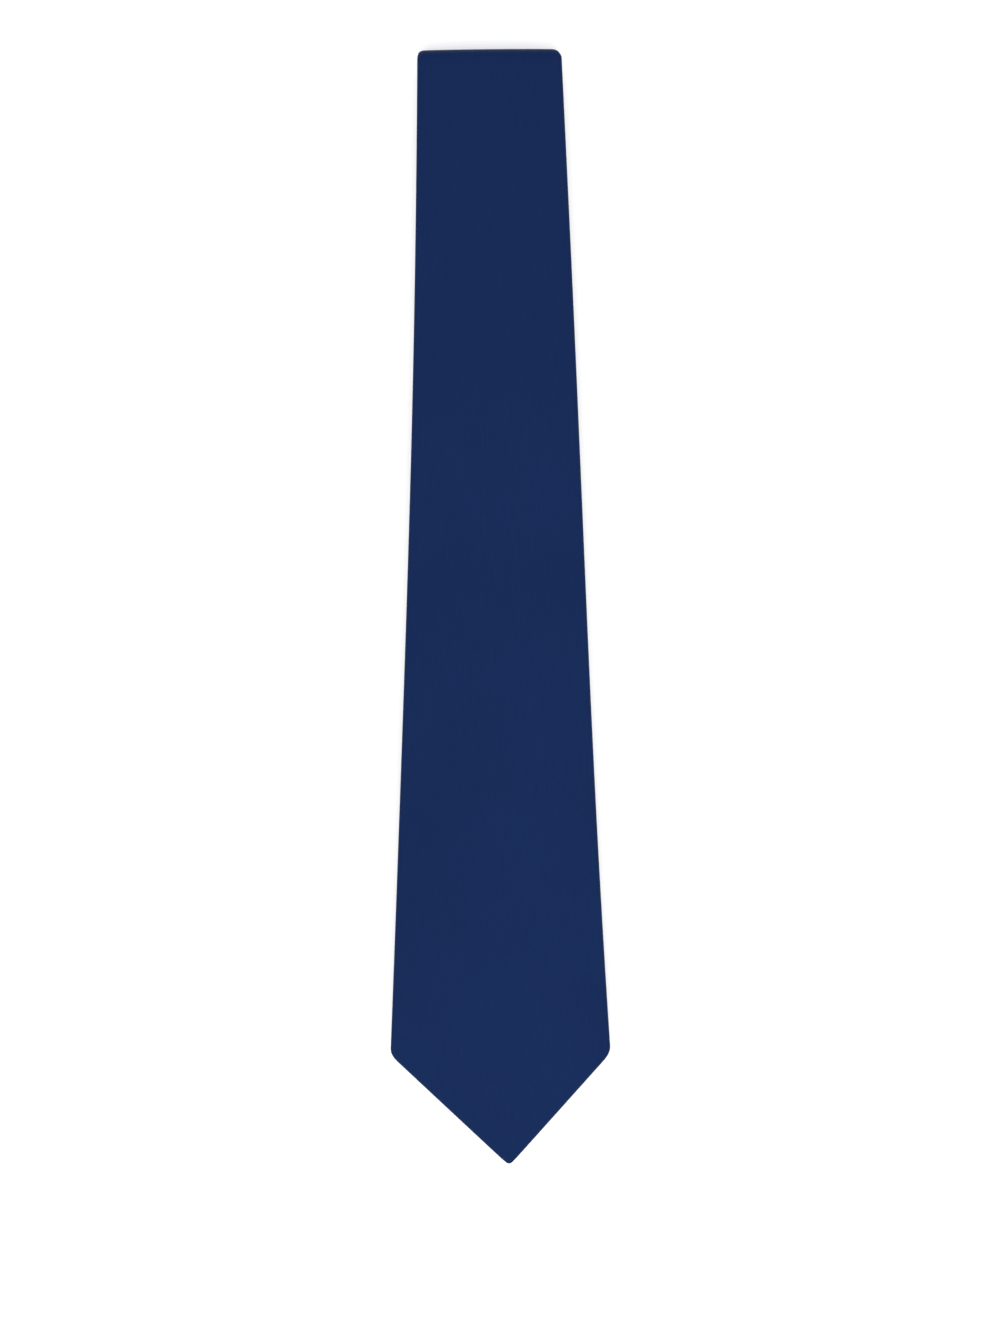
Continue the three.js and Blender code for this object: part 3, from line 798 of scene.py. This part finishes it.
tack_turns, tack_radius, tack_half, tack_slant = 9, 0.3, 0.95, 0.2
tack_inward, tack_proud, tack_arch = 0.6, 0.28, 0.4
for side, stands_for in ((-1, "keeper_tack_left"), (1, "keeper_tack_right")):
    low, high = cad(stands_for)
    turn = np.arange(tack_turns)[:, None]
    share = np.linspace(-1, 1, 9)[None, :]
    at = on_front(low[1] + (high[1] - low[1]) * (turn + 0.5) / tack_turns)
    x = (low[0] + high[0]) / 2 - side * tack_inward + tack_half * share
    height = -half_panel - tack_proud + tack_arch * share**4
    turns = spot(at + tack_slant * share, x, height)
    tack = thread_mesh(f"{stands_for}_threads", turns, tack_radius)
    tack.data.materials.append(thread)
    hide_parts(stands_for)
    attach(tack, "front_panel")


# ---------------------------------------------------------------------------------------------
# The care label: a short piece of woven ribbon with nothing on it, its ends turned under and
# stitched to the back of the silk beside the seam.
# the cream colour is painted shade in the ribbon's weave hollows, and its own tone in darker slubs and
# dye
ribbon_white, ribbon_tone_and_shade = (0.80, 0.78, 0.72, 1), (0.62, 0.60, 0.55, 1)
label_low, label_high = cad("care_label")
label_middle, label_half = (label_low + label_high) / 2, (label_high - label_low) / 2
ribbon, ribbon_surface = woven(
    "woven ribbon", ribbon_white, ribbon_tone_and_shade, 0.0004, 0.00003, 0.5, slub=0.35
)
ribbon_surface.inputs["Sheen Weight"].default_value = 0.2


def label():
    """A ribbon: a level grid that sags as a parabola between its ends, which curl up to the silk
    as an eighth power, with thicker selvedges as a twelfth power of the way across."""
    off_silk, ribbon_thick = 0.32, 0.2
    curl, sag, selvedge = 0.12, 0.04, 0.05
    u = np.linspace(-1, 1, 41)[:, None]
    v = np.linspace(-1, 1, 15)[None, :]
    x = label_middle[0] + u * label_half[0]
    at = on_front(label_middle[1] - v * label_half[1])
    level = -half_panel - off_silk + curl * u**8 - sag * (1 - u**2) - selvedge * v**12
    outer = spot(at, x, level)
    inner = spot(at, x, level + ribbon_thick)
    return two_faced_mesh("care_ribbon", inner, outer, np.stack([x + 0 * v, at + 0 * u], -1) * mm)


care_ribbon = label()
care_ribbon.data.materials.append(ribbon)
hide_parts("care_label")
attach(care_ribbon, "front_panel")

# six stitches down each end, each an arch as a fourth power
end_stitches, end_stitch_radius, end_stitch_half = 6, 0.12, 0.8
end_stitch_x, end_stitch_y = 10.6, 5.6  # from the label's middle
end_stitch_proud, end_stitch_arch = 0.36, 0.28
x = label_middle[0] + np.array([-1, 1])[:, None, None] * end_stitch_x
step = np.linspace(-end_stitch_y, end_stitch_y, end_stitches)[None, :, None]
share = np.linspace(-1, 1, 7)[None, None, :]
at = on_front(label_middle[1]) + step + share * end_stitch_half
height = -half_panel - end_stitch_proud + end_stitch_arch * share**4
label_runs = spot(at, x, height).reshape(-1, share.size, 3)
label_stitches = thread_mesh("label_stitches", label_runs, end_stitch_radius)
label_stitches.data.materials.append(thread)
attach(label_stitches, "front_panel")


# ---------------------------------------------------------------------------------------------
# The studio: a plain white table of opal glass, lit softly from below so that shadows stay
# faint, three soft lights above it and a pale room, with the camera straight overhead.
floor_white = (0.60, 0.60, 0.60, 1)
floor_glow = 0.45
floor_size = 16  # metres
bpy.ops.mesh.primitive_plane_add(size=floor_size)
floor = bpy.context.object
floor.name = "table_top"
paint = bpy.data.materials.new("opal white table")
paint.use_nodes = True
paint_surface = paint.node_tree.nodes["Principled BSDF"]
paint_surface.inputs["Base Color"].default_value = floor_white
paint_surface.inputs["Roughness"].default_value = 0.9
paint_surface.inputs["Emission Color"].default_value = (1, 1, 1, 1)
paint_surface.inputs["Emission Strength"].default_value = floor_glow
paint_surface.inputs["Specular IOR Level"].default_value = 0.1
floor.data.materials.append(paint)

room = bpy.data.worlds.new("pale room")
room.use_nodes = True
room.node_tree.nodes["Background"].inputs["Color"].default_value = (0.96, 0.98, 1.0, 1)
room.node_tree.nodes["Background"].inputs["Strength"].default_value = 0.6
bpy.context.scene.world = room
bpy.context.scene.view_settings.view_transform = "Standard"


def soft_light(name, place, tilt, size, power):
    """A square area light, aimed down and tilted about x by some degrees. Metres and watts."""
    data = bpy.data.lights.new(name, "AREA")
    data.size, data.energy = size, power
    lamp = bpy.data.objects.new(name, data)
    lamp.location = place
    lamp.rotation_euler = (np.radians(tilt), 0, 0)
    bpy.context.scene.collection.objects.link(lamp)


soft_light("overhead_light", (0, -0.8, 2.5), -17, 2.0, 56)
soft_light("near_light", (0, -1.3, 0.9), 55, 1.0, 9)
soft_light("far_light", (0, 1.5, 0.9), -58, 1.0, 6)

lens_long = 200.0
view_above = 2.706  # from the top of the tie to the lens, metres
view_x, view_y = 0.00102, -0.02237  # metres
roll = -0.574  # degrees
eye = bpy.data.cameras.new("studio_camera")
eye.lens = lens_long
camera = bpy.data.objects.new("studio_camera", eye)
camera.location = (view_x, view_y, cad_box[1][2] + view_above)
camera.rotation_euler = (0, 0, np.radians(roll))
bpy.context.scene.collection.objects.link(camera)
bpy.context.scene.camera = camera
